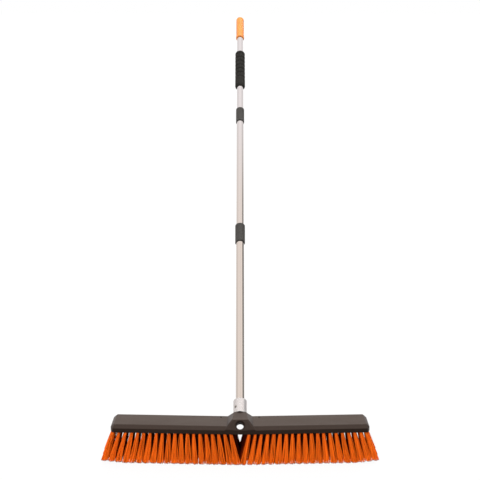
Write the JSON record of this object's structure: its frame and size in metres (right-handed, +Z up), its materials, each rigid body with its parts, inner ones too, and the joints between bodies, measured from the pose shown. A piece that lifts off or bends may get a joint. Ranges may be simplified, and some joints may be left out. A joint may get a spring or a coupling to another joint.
{
  "type": "push broom",
  "caption": "Wide push broom with fanned stiff bristles, a moulded head with slanted handle sockets, and a telescopic steel handle with twist locks, foam grip and end cap.",
  "frame": {"origin": "on the ground under the middle of the head, at the bristle tips", "axes": "+Z up, +X along the head, +Y towards the side that the handle leans to"},
  "size_m": [0.6602, 1.3744, 0.9248],
  "materials": {
    "head_plastic": "satin moulded",
    "bristle": "stiff drawn filament",
    "polished_steel": "polished thin-wall tube",
    "lock_plastic": "satin moulded",
    "bush_plastic": "natural nylon",
    "spigot_plastic": "satin moulded",
    "foam": "closed-cell foam",
    "cap_plastic": "semi-gloss moulded"
  },
  "bodies": {
    "head": {"head_block": "head_plastic", "left_bristles": "bristle", "right_bristles": "bristle"},
    "handle_lower": {"ferrule": "polished_steel", "threaded_spigot": "spigot_plastic", "ferrule_rivet": "polished_steel", "lower_tube": "polished_steel", "lower_lock_base": "lock_plastic", "lower_lock_collet": "bush_plastic"},
    "lower_nut": {"lower_lock_nut": "lock_plastic"},
    "handle_middle": {"middle_guide_bush": "bush_plastic", "middle_tube": "polished_steel", "upper_lock_base": "lock_plastic", "upper_lock_collet": "bush_plastic"},
    "upper_nut": {"upper_lock_nut": "lock_plastic"},
    "handle_top": {"top_guide_bush": "bush_plastic", "top_tube": "polished_steel", "foam_grip": "foam", "end_cap": "cap_plastic"}
  },
  "joints": [
    {"name": "handle_unscrew", "type": "slide", "parent": "head", "child": "handle_lower", "axis": [0, 0.848, 0.5299], "range_m": [0, 0.03]},
    {"name": "lower_lock_turn", "type": "hinge", "parent": "handle_lower", "child": "lower_nut", "pos_m": [0, 0.49829, 0.39473], "axis": [0, 0.848, 0.5299], "range_deg": [0, 90]},
    {"name": "middle_slide", "type": "slide", "parent": "handle_lower", "child": "handle_middle", "axis": [0, 0.848, 0.5299], "range_m": [-0.41, 0.06]},
    {"name": "upper_lock_turn", "type": "hinge", "parent": "handle_middle", "child": "upper_nut", "pos_m": [0, 0.90875, 0.65121], "axis": [0, 0.848, 0.5299], "range_deg": [0, 90]},
    {"name": "top_slide", "type": "slide", "parent": "handle_middle", "child": "handle_top", "axis": [0, 0.848, 0.5299], "range_m": [-0.095, 0.06]}
  ]
}
